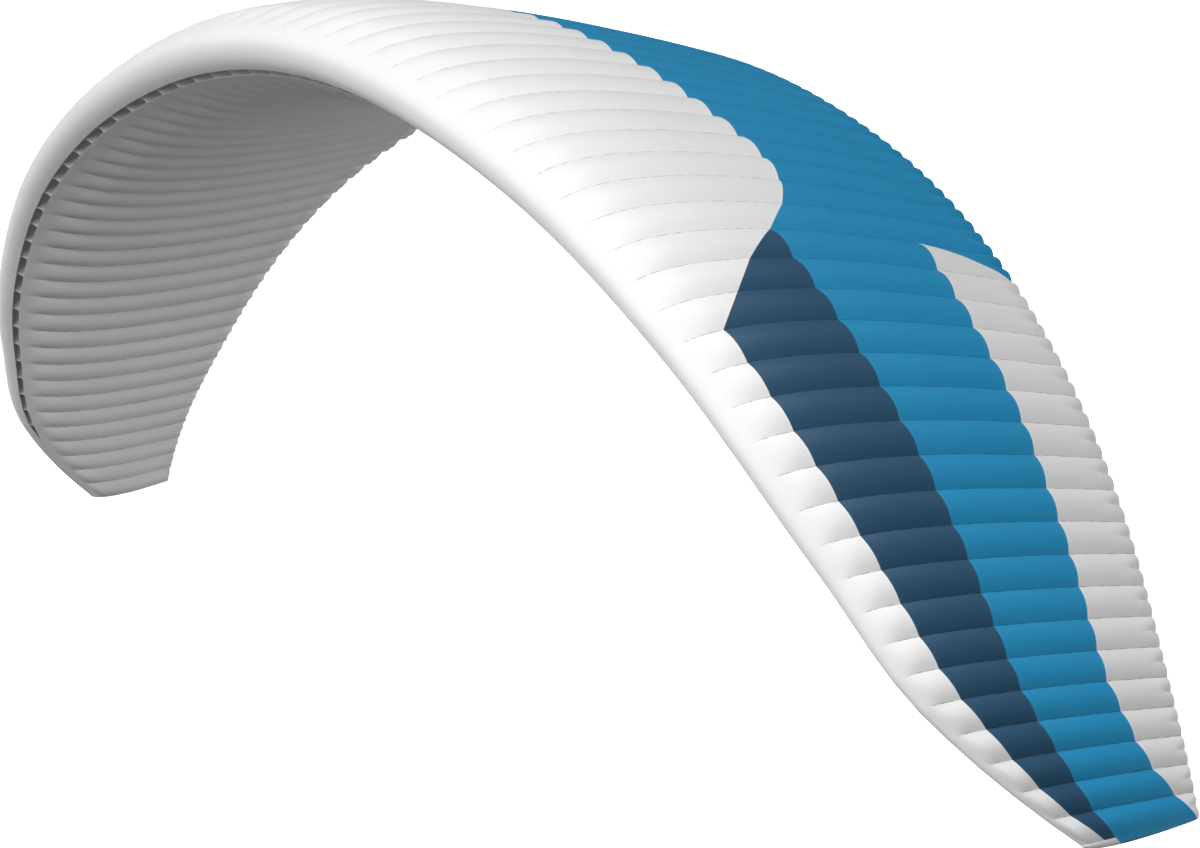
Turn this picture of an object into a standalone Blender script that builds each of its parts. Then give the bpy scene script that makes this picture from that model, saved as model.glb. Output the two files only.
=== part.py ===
"""Paraglider wing, inflated in flight: an arched ram-air wing of 68 cells sewn from thin cloth.

The wing is drawn by its ribs. A rib is an aerofoil set square to the arch, and the cloth runs from rib to
rib, swelling outwards between them. The upper sail is cut in colour fields, the lower sail is one field
with the ribs sewn to it, and an open row of cell mouths lies under the nose.

Frame, in metres: the wing flies towards -X, its left half is at -Y, and +Z is up. The origin is under the
middle rib, on the lower sail at 30 per cent of the chord, where the wing carries its load.
"""

import math

import bmesh
import bpy
import numpy as np

# Driving dimensions, in metres and degrees.
FLAT_SPAN = 12.0  # along the arch, tip to tip
CELLS = 68
CLOTH = 0.002  # thickness of every sheet
SEAM_GAP = 0.0006  # between two fields of one sail, along the chord
SLANT_GAP = 0.0018  # the same where a seam runs steeply across a cell
TIP_GAP = 0.0012  # between the two sails along the edge of a tip end
SEWN_GAP = 0.0008  # between a rib's edge and the upper sail
TAIL_DEPTH = 0.0026  # between the middles of the two sails at the trailing edge
THICKNESS = 0.18  # of the aerofoil, as a share of the chord
TIP_THINNING = 0.035  # how much of that share is gone at the tip
TIP_TOE = (0.92, 0.033)  # share of the half arch where the noses start to lean outwards, and how far
TIP_BULGE = 0.65  # depth of the rounded tip end, as a share of the tip rib's half thickness
TIP_FADE = 0.07  # share of the chord over which the tip end narrows to nothing at the tail
WASHOUT = (1.1, 5.5)  # nose-down twist at the tip: the slow part and the late part
CELL_CROWDING = (0.256, -0.057)  # how much wider the middle cells are than the even width
BILLOW = 0.12  # height of the swell between two ribs, as a share of the cell's width
ORIGIN_CHORD_SHARE = 0.30

# One row for each station of the half wing.
# share of the half arch, nose set back, chord, roll of the rib in degrees
STATIONS = (
    (0.00, 0.000, 2.460, 0.0),
    (0.20, 0.005, 2.385, 12.1),
    (0.40, 0.048, 2.250, 22.2),
    (0.60, 0.170, 1.990, 36.6),
    (0.80, 0.450, 1.555, 53.0),
    (0.92, 0.786, 1.119, 59.4),
    (1.00, 1.311, 0.567, 65.3),
)

# Seams of the upper sail. Each row gives a rib, counted from the tip, and the share of the chord at which
# the seam crosses it; the seam runs straight from row to row. Rib -1 stands for the edge of the tip end.
NOSE_SEAM = ((0, 0.147), (1, 0.113), (2, 0.106), (3, 0.114), (4, 0.12), (10, 0.12), (16, 0.109))
POINT_SEAM = ((16, 0.109), (17, 0.197), (18, 0.283), (19, 0.389))
CROWN_SEAM = ((19, 0.389), (20, 0.476), (21, 0.525), (22, 0.54), (28, 0.52), (34, 0.505))
NAVY_SEAM = (
    (-1, 0.32), (0, 0.235), (1, 0.256), (2, 0.293), (3, 0.32), (6, 0.362), (9, 0.389), (12, 0.40),
    (19, 0.389),
)
TRAILING_SEAM = (
    (0, 0.985), (1, 0.849), (2, 0.767), (3, 0.735), (5, 0.716), (8, 0.738), (13, 0.77), (19, 0.782)
)
SLANT_SEAM = ((18, 1.0), (19, 0.782))  # the slanted inner end of the pale trailing field
CROWN_FROM_RIB = 16  # where the nose field starts to widen into the crown
POINT_RIB = 19  # where the navy field ends in a point
SLANT_RIB = 18  # where the slanted seam reaches the tail
BLUNT = 0.01  # share of a cell cut off a field's sharp point

# Rows of cloth drawn along the chord in each field.
NOSE_STEPS = 6
TIP_STEPS = 3  # round a tip end, from the tip rib to the edge
FRONT_STEPS = 3
REAR_STEPS = 2

# The mouths lie between these shares of the chord on the lower side, from this rib inwards.
MOUTH_FRONT = 0.035
MOUTH_REAR = 0.060
MOUTH_CLOSED = 0.047  # the seam in the tip cells, which have no mouth
MOUTH_FROM_RIB = 5

RIB_TAIL = 0.93  # share of the chord where a rib ends
TIP_RIB_TAIL = 0.70  # the same for the top edge of the two tip ribs, inside the rounded tip ends
LOWER_ROWS = (0.14, 0.30, 0.60, RIB_TAIL, 1.0)
MIDDLE = CELLS // 2
ROUGHNESS = 0.5

COLOURS = {
    "white": (0.86, 0.86, 0.86),
    "blue": (0.022, 0.28, 0.53),
    "navy": (0.027, 0.085, 0.155),
    "trailing": (0.86, 0.86, 0.86),
    "lower": (0.86, 0.86, 0.86),
}


def smooth(column, share, odd=False):
    """A column of STATIONS at a share of the half arch, as a smooth curve mirrored at the middle."""
    nodes = [row[0] for row in STATIONS]
    values = [row[column] for row in STATIONS]
    nodes = np.array([-nodes[1]] + nodes)
    values = np.array([-values[1] if odd else values[1]] + values)
    steps = np.diff(nodes)
    slopes = np.diff(values) / steps
    tangents = np.empty(len(nodes))
    tangents[1:-1] = (slopes[:-1] * steps[1:] + slopes[1:] * steps[:-1]) / (steps[1:] + steps[:-1])
    tangents[0] = slopes[0]
    tangents[-1] = 2 * slopes[-1] - tangents[-2]
    k = int(np.clip(np.searchsorted(nodes, share, side="right") - 1, 1, len(nodes) - 2))
    w = (share - nodes[k]) / steps[k]
    return (
        (1 + 2 * w) * (1 - w) ** 2 * values[k]
        + w * (1 - w) ** 2 * steps[k] * tangents[k]
        + w * w * (3 - 2 * w) * values[k + 1]
        + w * w * (w - 1) * steps[k] * tangents[k + 1]
    )


def arch_table(steps=400):
    """The arch's middle-to-tip curve: shares, distances out and drops, from the roll of the ribs."""
    shares = np.linspace(0.0, 1.0, steps + 1)
    rolls = np.radians([smooth(3, share, odd=True) for share in shares])
    length = FLAT_SPAN / 2 / steps
    out = np.concatenate([[0.0], np.cumsum((np.cos(rolls[1:]) + np.cos(rolls[:-1])) / 2 * length)])
    drop = np.concatenate([[0.0], np.cumsum((np.sin(rolls[1:]) + np.sin(rolls[:-1])) / 2 * length)])
    return shares, out, drop


ARCH = arch_table()


def half_thickness(q):
    """Half the aerofoil's thickness for a thickness of one, at share q of the chord."""
    return 5 * (0.2969 * math.sqrt(q) - 0.126 * q - 0.3516 * q**2 + 0.2843 * q**3 - 0.1036 * q**4)


class Rib:
    """One rib: its place on the arch and its aerofoil."""

    def __init__(self, index):
        side = index / MIDDLE - 1
        u = abs(side)
        share = u * (1 + (1 - u * u) * (CELL_CROWDING[0] + CELL_CROWDING[1] * u * u))
        self.sign = -1.0 if side < 0 else 1.0
        self.roll = math.radians(smooth(3, share, odd=True))
        self.out = float(np.interp(share, ARCH[0], ARCH[1]))
        self.drop = float(np.interp(share, ARCH[0], ARCH[2]))
        self.nose = smooth(1, share)
        self.chord = smooth(2, share)
        self.twist = -math.radians(WASHOUT[0] * share**2 + WASHOUT[1] * share**6)
        self.thickness = THICKNESS - TIP_THINNING * share**4
        self.toe = TIP_TOE[1] * max(share - TIP_TOE[0], 0.0) / (1 - TIP_TOE[0])
        self.tipward = np.array((0.0, self.sign * math.cos(self.roll), -math.sin(self.roll)))

    def point(self, girth):
        """A point of the outline. Girth runs from 1 at the tail over the top to 0 at the nose and -1
        at the tail below, and its square is the share of the chord."""
        q = girth * girth
        height = half_thickness(q) * self.thickness * self.chord + TAIL_DEPTH / 2 * q
        along = (q - 0.25) * self.chord
        height = math.copysign(height, girth) if girth else 0.0
        turned = along * math.cos(self.twist) + height * math.sin(self.twist)
        lifted = height * math.cos(self.twist) - along * math.sin(self.twist)
        return self.tipward * self.toe * (1 - q) + np.array((
            self.nose + 0.25 * self.chord + turned,
            self.sign * (self.out + lifted * math.sin(self.roll)),
            lifted * math.cos(self.roll) - self.drop,
        ))

    def inside(self, girth, beside):
        """A point inside the outline, in the rib's own plane, where the rib clears the cloth over it.
        The cloth needs more room where it slants away from the rib towards the points beside it."""
        along = self.point(girth + 0.01) - self.point(girth - 0.01)
        plane = np.cross(self.point(0.5) - self.point(-0.5), self.point(1) - self.point(0))
        plane /= np.linalg.norm(plane)
        inward = np.cross(plane, along)
        inward /= np.linalg.norm(inward)
        steps = [point - self.point(girth) for point in beside]
        slope = max(abs(np.dot(step, inward) / np.dot(step, plane)) for step in steps)
        return self.point(girth) + inward * (CLOTH / 2 * (math.hypot(1, slope) + slope) + SEWN_GAP)


RIBS = [Rib(index) for index in range(CELLS + 1)]
ORIGIN = RIBS[MIDDLE].point(-math.sqrt(ORIGIN_CHORD_SHARE)) - np.array((0.0, 0.0, CLOTH / 2))


def from_tip(position):
    """A place across the wing, in cells, counted from the nearer tip."""
    return min(position, CELLS - position)


def swell(girth):
    """Height of the billow as a share of the cell's width: none round the nose and none at the tail."""
    q = girth * girth
    rise = np.clip((q - 0.02) / 0.16, 0.0, 1.0)
    fall = np.clip((1.0 - q) / 0.14, 0.0, 1.0)
    return BILLOW * rise * rise * (3 - 2 * rise) * math.sin(fall * math.pi / 2)


def tip_end(rib, girth, beyond):
    """A point of the rounded cloth that closes a tip. Beyond runs from 0 at the tip rib to 1 at the edge,
    where the upper and the lower sail meet."""
    here, across = rib.point(girth), rib.point(girth) - rib.point(-girth)
    height = np.linalg.norm(across) / 2
    angle = beyond * math.pi / 2 * min((1 - girth * girth) / TIP_FADE, 1.0)
    lowered = height * (1 - math.cos(angle)) - TIP_GAP / 2 * math.sin(angle)
    out = rib.tipward * TIP_BULGE * height * math.sin(angle)
    return here - across / max(2 * height, 0.0001) * lowered + out - ORIGIN


def skin(position, girth):
    """A point in the middle of a sail's cloth, at a place across the wing in cells."""
    if not 0 <= position <= CELLS:
        return tip_end(RIBS[0 if position < 0 else -1], girth, max(-position, position - CELLS))
    first = min(int(position), CELLS - 1)
    part = position - first
    left, right = RIBS[first], RIBS[first + 1]
    ends = [(1 - part) * left.point(g) + part * right.point(g) for g in (girth - 0.01, girth + 0.01)]
    across = right.point(girth) - left.point(girth)
    outward = np.cross(across, ends[1] - ends[0])
    outward /= -np.linalg.norm(outward)
    middle = (1 - part) * left.point(girth) + part * right.point(girth)
    rise = 4 * part * (1 - part) * swell(girth) * np.linalg.norm(across)
    return middle + outward * rise - ORIGIN


def columns(start, end):
    """The places across the wing where the cloth is drawn: every rib and the middle of every cell."""
    halves = [half / 2 for half in range(math.ceil(start * 2), math.floor(end * 2) + 1)]
    return sorted({start, end, *halves})


def mirrored(places):
    return [CELLS - place for place in reversed(places)]


def tip_places():
    """The places across the two tip ends, each from left to right."""
    left = [share - 1 for share in even(TIP_STEPS)]
    return left, mirrored(left)


def seam(rows, distance=0.0):
    """The girth of a seam of the upper sail at any place, moved back by a distance along the chord."""
    ribs, shares = zip(*rows)

    def girth(place):
        chord = RIBS[max(round(from_tip(place)), 0)].chord
        share = np.interp(from_tip(place), ribs, shares) + distance / chord
        return math.sqrt(min(share, 1.0))

    return girth


def mouth_edge(share, distance):
    """The girth of the front or rear edge of the mouths. In the tip cells both edges meet."""
    edge = seam(((MOUTH_FROM_RIB - 1, MOUTH_CLOSED), (MOUTH_FROM_RIB, share)), distance)
    return lambda place: -edge(place)


def tail(place):
    return 1.0


def even(count):
    return [k / count for k in range(count + 1)]


def lay(sheet, places, front, rear, shares):
    """Adds a strip of cloth to a sheet, from one edge to the other, with a row at each share between."""
    grid = []
    for place in places:
        low, high = front(place), rear(place)
        grid.append([sheet.verts.new(skin(place, low + (high - low) * share)) for share in shares])
    for left, right in zip(grid, grid[1:]):
        for k in range(len(shares) - 1):
            sheet.faces.new((left[k], right[k], right[k + 1], left[k + 1]))


def cloth_material(name, colour):
    material = bpy.data.materials.new(name)
    material.use_nodes = True
    shader = material.node_tree.nodes["Principled BSDF"]
    shader.inputs["Base Color"].default_value = (*COLOURS[colour], 1.0)
    shader.inputs["Roughness"].default_value = ROUGHNESS
    shader.inputs["Metallic"].default_value = 0.0
    return material


def finish(name, sheet, colour):
    """Makes a node of an open sheet of cloth, which gets its thickness half to each side."""
    bmesh.ops.remove_doubles(sheet, verts=sheet.verts, dist=0.0001)
    bmesh.ops.recalc_face_normals(sheet, faces=sheet.faces)
    data = bpy.data.meshes.new(name)
    sheet.to_mesh(data)
    sheet.free()
    data.materials.append(cloth_material(name, colour))
    node = bpy.data.objects.new(name, data)
    wing.objects.link(node)
    thicken = node.modifiers.new("cloth", "SOLIDIFY")
    thicken.thickness = CLOTH
    thicken.offset = 0.0
    thicken.use_even_offset = True
    return thicken


def nose_panels():
    """The pale field round the nose, which widens into the crown of the wing."""
    sheet = bmesh.new()
    seam_line = seam(NOSE_SEAM, -SEAM_GAP / 2)
    for places in (columns(0, CELLS), *tip_places()):
        lay(sheet, places, mouth_edge(MOUTH_FRONT, -SEAM_GAP / 2), seam_line, even(NOSE_STEPS))
    for places in tip_places():
        lay(sheet, places, seam_line, seam(NAVY_SEAM, -SEAM_GAP / 2), even(FRONT_STEPS))
    crown = columns(CROWN_FROM_RIB, CELLS - CROWN_FROM_RIB)
    lay(sheet, crown, seam_line, seam(POINT_SEAM + CROWN_SEAM, -SEAM_GAP / 2), even(FRONT_STEPS))
    finish("nose_panels", sheet, "white")


def centre_panels():
    """The blue field: the crown back to the tail, and a band that runs out to both tips."""
    sheet = bmesh.new()
    front = seam(NAVY_SEAM + CROWN_SEAM, SEAM_GAP / 2)
    rear = seam(TRAILING_SEAM, -SEAM_GAP / 2)
    for places in (columns(0, CELLS), *tip_places()):
        lay(sheet, places, front, rear, even(REAR_STEPS))
    lay(sheet, columns(POINT_RIB, CELLS - POINT_RIB), rear, tail, even(REAR_STEPS))
    slant = seam(SLANT_SEAM, SLANT_GAP / 2)

    def corner_front(place):
        return rear(place) if from_tip(place) == POINT_RIB else slant(place)

    corner = columns(SLANT_RIB + BLUNT, POINT_RIB)
    lay(sheet, corner, corner_front, tail, even(REAR_STEPS))
    lay(sheet, mirrored(corner), corner_front, tail, even(REAR_STEPS))
    finish("centre_panels", sheet, "blue")


def navy_panels(name, side):
    """The dark field between the nose and the blue band, which ends in a point."""
    sheet = bmesh.new()
    front = seam(NOSE_SEAM[:-1] + POINT_SEAM, SLANT_GAP / 2)
    rear = seam(NAVY_SEAM, -SEAM_GAP / 2)
    lay(sheet, side(columns(BLUNT, POINT_RIB - BLUNT * 2)), front, rear, even(FRONT_STEPS))
    finish(name, sheet, "navy")


def trailing_panels(name, side):
    """The pale field along the tail, cut off by a slanted seam at its inner end."""
    sheet = bmesh.new()
    front = seam(TRAILING_SEAM, SEAM_GAP / 2)
    slant = seam(SLANT_SEAM, -SLANT_GAP / 2)

    def rear(place):
        return slant(place) if from_tip(place) > SLANT_RIB else 1.0

    lay(sheet, side(columns(0, POINT_RIB - BLUNT)), front, rear, even(REAR_STEPS))
    finish(name, sheet, "trailing")


def lower_sail_and_ribs():
    """The lower sail, from the mouths to the tail, with every rib sewn along its own line of it."""
    sheet = bmesh.new()
    front = mouth_edge(MOUTH_REAR, SEAM_GAP / 2)
    rows = [-math.sqrt(share) for share in LOWER_ROWS]
    for places in (columns(0, CELLS), *tip_places()):
        lay(sheet, places, front, lambda place: rows[0], even(1))
        for low, high in zip(rows, rows[1:]):
            lay(sheet, places, lambda place: low, lambda place: high, even(1))
    for index, rib in enumerate(RIBS):
        free = [rows[0], front(index), *rib_rows(index)]
        if index in (0, CELLS):
            free = [girth for girth in free if girth * girth < TIP_RIB_TAIL]
        outline = [skin(index, girth) for girth in rows[:-1]]
        beside = [max(index - 1, -1 / TIP_STEPS), min(index + 1, CELLS + 1 / TIP_STEPS)]
        for girth in reversed(free):
            points = [skin(place, girth) + ORIGIN for place in beside]
            outline.append(rib.inside(girth, points) - ORIGIN)
        sheet.faces.new([sheet.verts.new(point) for point in outline])
    thicken = finish("lower_sail_and_ribs", sheet, "lower")
    thicken.solidify_mode = "NON_MANIFOLD"
    thicken.nonmanifold_thickness_mode = "EVEN"
    thicken.nonmanifold_boundary_mode = "NONE"
    thicken.nonmanifold_merge_threshold = 0.00005


def rib_rows(index):
    """The girths of a rib's corners under the upper sail, which are the rows of the sail's panels."""
    seams = [mouth_edge(MOUTH_FRONT, -SEAM_GAP / 2), seam(NOSE_SEAM)]
    steps = [NOSE_STEPS, FRONT_STEPS, REAR_STEPS, REAR_STEPS]
    if CROWN_FROM_RIB < from_tip(index) < POINT_RIB:
        seams.append(seam(POINT_SEAM))
        steps.insert(1, FRONT_STEPS)
    seams += [seam(NAVY_SEAM + CROWN_SEAM), seam(TRAILING_SEAM), tail]
    girths = []
    for front, rear, count in zip(seams, seams[1:], steps):
        low, high = front(index), rear(index)
        girths += [low + (high - low) * share for share in even(count)[:-1]]
    return girths


for old in list(bpy.data.objects):
    bpy.data.objects.remove(old)
wing = bpy.data.collections.new("paraglider_wing")
bpy.context.scene.collection.children.link(wing)
nose_panels()
centre_panels()
navy_panels("navy_panels_left", list)
navy_panels("navy_panels_right", mirrored)
trailing_panels("trailing_panels_left", list)
trailing_panels("trailing_panels_right", mirrored)
lower_sail_and_ribs()
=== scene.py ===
"""The looks of an inflated ram-air paraglider wing: its cloth, its ribs and a studio around it.

The cloth fields are strips laid over the ribs, from one seam to the next. Every size is in metres.
"""

import collections
import math

import bmesh
import bpy
import numpy as np
from bpy.props import FloatProperty, FloatVectorProperty, IntProperty, PointerProperty
from mathutils import Matrix, Vector


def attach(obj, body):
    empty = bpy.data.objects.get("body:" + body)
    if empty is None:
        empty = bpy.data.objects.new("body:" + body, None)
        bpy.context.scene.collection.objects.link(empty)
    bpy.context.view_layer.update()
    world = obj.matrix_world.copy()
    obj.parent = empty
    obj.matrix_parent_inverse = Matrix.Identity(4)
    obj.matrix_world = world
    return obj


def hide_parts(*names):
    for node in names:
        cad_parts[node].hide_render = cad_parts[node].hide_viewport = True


bl_info = {
    "name": "Paraglider wing",
    "version": (1, 0, 0),
    "blender": (4, 5, 0),
    "location": "View3D > Sidebar > Wing",
    "description": "Builds the cloth and ribs of an inflated paraglider wing and its stage",
    "category": "Object",
}

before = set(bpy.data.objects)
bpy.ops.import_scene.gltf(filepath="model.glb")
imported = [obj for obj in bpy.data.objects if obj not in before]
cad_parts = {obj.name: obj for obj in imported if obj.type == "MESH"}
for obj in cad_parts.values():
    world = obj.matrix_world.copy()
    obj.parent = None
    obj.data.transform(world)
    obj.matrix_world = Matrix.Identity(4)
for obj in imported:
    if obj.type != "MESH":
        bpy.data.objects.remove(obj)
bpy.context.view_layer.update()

# Sizes of the wing, in metres and degrees.
FLAT_SPAN = 12.0  # along the arch, tip to tip
CELLS = 68
MIDDLE = CELLS // 2
THICKNESS = 0.18  # of the aerofoil, as a share of the chord
TIP_THINNING = 0.035  # how much of that share is gone at the tip
TIP_TOE = (0.92, 0.033)  # share of the half arch where the noses start to lean outwards, and how far
TWIST_AXIS = 0.25  # share of the chord about which a rib is twisted
TIP_BULGE = 0.65  # depth of the rounded tip end, as a share of the tip rib's half thickness
TIP_FADE = 0.07  # share of the chord over which the tip end narrows to nothing at the tail
WASHOUT = (1.1, 5.5)  # nose-down twist at the tip: the slow part and the late part
CELL_CROWDING = (0.256, -0.057)  # how much wider the middle cells are than even ones, and its change

# The plain solids that the cloth is laid over.
SOLID_CLOTH = 0.002  # thickness
SOLID_TAIL_DEPTH = 0.0026  # between the middles of the two sails at the tail
ORIGIN_CHORD_SHARE = 0.30  # where the origin lies under the middle rib

# One row for each station of the half wing.
# share of the half arch, nose set back, chord, roll of the rib in degrees
SET_BACK, CHORD, ROLL = 1, 2, 3
STATIONS = (
    (0.00, 0.000, 2.460, 0.0),
    (0.20, 0.005, 2.385, 12.1),
    (0.40, 0.048, 2.250, 22.2),
    (0.60, 0.170, 1.990, 36.6),
    (0.80, 0.450, 1.555, 53.0),
    (0.92, 0.786, 1.119, 59.4),
    (1.00, 1.311, 0.567, 65.3),
)

# Seams of the upper sail. Each row gives a rib, counted from the tip, and the share of the chord at which
# the seam crosses it; the seam runs straight from row to row. Rib -1 stands for the edge of the tip end.
NOSE_SEAM = ((0, 0.147), (1, 0.113), (2, 0.106), (3, 0.114), (4, 0.12), (10, 0.12), (16, 0.109))
POINT_SEAM = ((16, 0.109), (17, 0.197), (18, 0.283), (19, 0.389))
CROWN_SEAM = ((19, 0.389), (20, 0.476), (21, 0.525), (22, 0.54), (28, 0.52), (34, 0.505))
NAVY_SEAM = (
    (-1, 0.32), (0, 0.235), (1, 0.256), (2, 0.293), (3, 0.32), (6, 0.362), (9, 0.389), (12, 0.40),
    (19, 0.389),
)
TRAILING_SEAM = (
    (0, 0.985), (1, 0.849), (2, 0.767), (3, 0.735), (5, 0.716), (8, 0.738), (13, 0.77), (19, 0.782)
)
SLANT_SEAM = ((18, 1.0), (19, 0.782))  # the slanted inner end of the trailing field
CROWN_FROM_RIB = 16  # where the nose field starts to widen into the crown
POINT_RIB = 19  # where the navy field ends in a point
SLANT_RIB = 18  # where the slanted seam reaches the tail
BLUNT = 0.01  # share of a cell cut off a field's sharp point
RIB_TAIL = 0.985  # share of the chord where a rib ends
TIP_RIB_TAIL = 0.90  # the same for a tip rib

# Where the cloth swells between the ribs, in shares of the chord.
UPPER_FULL = 0.11  # the upper sail starts at the nose and is full here
TIP_SOONER = 0.06  # how much sooner it is full at the tips
TIP_CELLS = 16  # cells from the tip over which this fades
LOWER_START = 0.07
LOWER_FULL = 0.17
UPPER_FALL = 0.08  # length over which the swell sinks at the tail
LOWER_FALL = 0.03
UNDER_TURN = 0.96  # from here on the lower sail turns over to follow the upper one

# The mouths lie between these shares of the chord on the lower side, from this rib inwards.
MOUTH_FRONT = 0.037
MOUTH_REAR = 0.058
MOUTH_BEND = MOUTH_FRONT * 0.65 + MOUTH_REAR * 0.35  # where the ribs' edges are hollowed the most
MOUTH_CLOSED = 0.047  # the seam in the tip cells, which have no mouth
MOUTH_FROM_RIB = 5

# Rows of faces from the front edge of a strip of cloth to its rear edge.
NOSE_ROWS = 30
TIP_NOSE_ROWS = 6
CROWN_ROWS = 26
CENTRE_ROWS = 24
TAIL_ROWS = 20
NAVY_ROWS = 16
LOWER_ROWS = 44

# Faces of a rib. The rows along its lower edge keep to the tape's height.
RIB_COLUMNS = 44
RIB_ROWS = 4
TAPE_ROWS = 2
TAPE_ROW = 0.006  # height of each
TAPE_MOST = 0.35  # share of the rib's height that they take at most
LOW_RIB = 0.02  # height that a rib is taken to have at least
ROW_ABOVE_TAPE = 0.4  # where the next row ends, as a share of the height

# Steps and tolerances, in metres where nothing else is said.
ARCH_STEPS = 400  # straight pieces that the half arch is measured in
GIRTH_STEP = 0.01  # of girth to each side of a point, to see which way a rib's edge runs
PLACE_STEP = 0.03  # the same across the wing, in cells, for a seam
LINE_STEPS = 400  # points on the outline, to measure its length
WELD = 0.0001  # vertices this near to each other are joined
SLIVER = 0.00005  # edges shorter than this are taken out
NO_HEIGHT = 0.0001  # keeps a division from zero
NO_EDGE = 1.0  # distance that is noted where no sewn edge is near
ON_LINE = 1e-4  # cells between a vertex and the rib that it is on
AT_MOUTH = 0.001  # girth between a column of a rib and the edge of the mouth that it is on
RIM_ANGLE = 40  # degrees, from which an edge is sharp

# Where the creases are sharp, in girth.
UPPER_CREASE = 0.13
LOWER_CREASE = 0.28
MINI_RIB_CREASE = 0.97

# Marks on the cloth. A pair gives where a mark starts to show and where it is full, or the other way
# round for its edge.
THREAD = (0.82, 1.0)  # height of the wave across the squares of thick thread
DASH = (0.25, 0.45)  # height of the wave along a row of stitches
SWELLED_ABOVE = (0.15, 0.18)  # girth
SWELLED_BELOW = (0.30, 0.36)
OFF_TIP_RIB = (0.4, 0.6)  # cells
PAINTED_CREASE_CORE = 0.3  # share of the painted crease shade's half width that is fully dark
CREASE_SHADE_NOISE = (0.46, 0.56)  # of the noise that breaks the painted crease shade into dashes
RIB_TO_RIB = 7.3  # shift of that noise, so that no two creases are alike
CREASE_SHADE_GAPS = 0.35  # how dark the painted crease shade stays in the gaps between its dashes
RIB_STITCH = (0.0006, 0.0012)  # distance from the rib
HEM_STITCH = (0.0004, 0.0009)  # distance from the row
HEM_ROWS = (0.003, 0.009)  # the rows of stitches, from the edge
HEM = (0.011, 0.013)  # distance from the edge
BROAD_SCALE = 2.3  # of the uneven shade, per metre

# How much each mark changes the shade of the cloth, and its height in metres.
BROAD_SHADE = 0.04
PANEL_SHADE = 0.02
THREAD_SHADE = 0.015
# painted highlight along each hem
HEM_HIGHLIGHT = 0.06
# painted shade in the crease beside every rib
PAINTED_CREASE_SHADE = 0.45
STITCH_SHADE = 0.12
THREAD_HEIGHT = 0.00006
HEM_HEIGHT = 0.0004
STITCH_DEPTH = 0.0003
MARKS_STRENGTH = 0.8
CLOTH_ROUGHNESS = 0.5
UNEVEN_ROUGHNESS = 0.1
CLOTH_GLOSS = 0.3
TAPE = (0.005, 0.006)  # distance from a rib's edge
RIB_SHADE = 0.85
TAPE_SHADE = 0.3
RIB_GLOW = 0.035
RIB_ROUGHNESS = 0.55

# Place and aim of the camera: metres and radians, found from the seams in the photo.
CAMERA_PLACE = Vector((-7.832, -14.504, 0.506))
CAMERA_YAW = 0.56406
CAMERA_DIP = 0.12858
CAMERA_ROLL = 0.02965
LENS = 98.975  # mm
FILM_WIDTH = 36.0  # mm
FAR_LIMIT = 1000.0  # how far the camera sees

# The light: where each lamp stands and its strength.
LAMPS = (
    ("near lamp", (-0.68, -0.68, 0.26), 1.62),
    ("nose lamp", (-0.97, 0.0, 0.26), 1.15),
    ("top lamp", (0.01, 0.0, 1.0), 1.5),
    ("front lamp", (-0.71, 0.0, 0.71), 0.45),
    ("tail lamp", (0.94, 0.0, -0.34), 1.55),
    ("side lamp", (0.0, 0.94, -0.34), 0.6),
)
LAMP_WIDTH = 0.6  # radians
ROOM_SIZE = 300.0
FLOOR_DEPTH = 14.0  # below the wing's origin
FLOOR_COLOUR = (0.9, 0.9, 0.9, 1.0)
FLOOR_ROUGHNESS = 0.9
WHITE = (1.0, 1.0, 1.0, 1.0)
SKY_LEVEL = 0.02


class WingSizes(bpy.types.PropertyGroup):
    """Sizes of the cloth that can be changed before it is built."""

    cloth: FloatProperty(
        name="Cloth", description="Thickness of the sheets", default=0.001, min=0.0003, max=0.003,
        precision=4, unit="LENGTH",
    )
    seam_gap: FloatProperty(
        name="Seam gap", description="Between two fields that are sewn edge to edge", default=0.0004,
        min=0.0002, max=0.002, precision=4, unit="LENGTH",
    )
    rib_gap: FloatProperty(
        name="Rib gap", description="Between a rib's edge and the sails", default=0.0006,
        min=0.0003, max=0.003, precision=4, unit="LENGTH",
    )
    tail_depth: FloatProperty(
        name="Tail depth", description="Between the middles of the two sails at the tail",
        default=0.0014, min=0.0012, max=0.01, precision=4, unit="LENGTH",
    )
    billow: FloatProperty(
        name="Billow", description="Height of the swell as a share of the cell's width",
        default=0.12, min=0.0, max=0.3, subtype="FACTOR",
    )
    lower_billow: FloatProperty(
        name="Lower billow", description="The same for the lower sail", default=0.15, min=0.0, max=0.3,
        subtype="FACTOR",
    )
    tail_billow: FloatProperty(
        name="Tail billow", description="The same at the tail, as a share of the width between its ribs",
        default=0.19, min=0.0, max=0.3, subtype="FACTOR",
    )
    tail_from: FloatProperty(
        name="Mini-ribs from", description="Share of the chord where the mini-ribs start to show",
        default=0.91, min=0.7, max=0.97, subtype="FACTOR",
    )
    notch: FloatProperty(
        name="Rib notch", description="Depth of the hollow in a rib's edge at the mouth",
        default=0.009, min=0.0, max=0.02, precision=4, unit="LENGTH",
    )
    steps: IntProperty(
        name="Steps", description="Columns of faces across a cell", default=12, min=4, max=16,
    )


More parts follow.
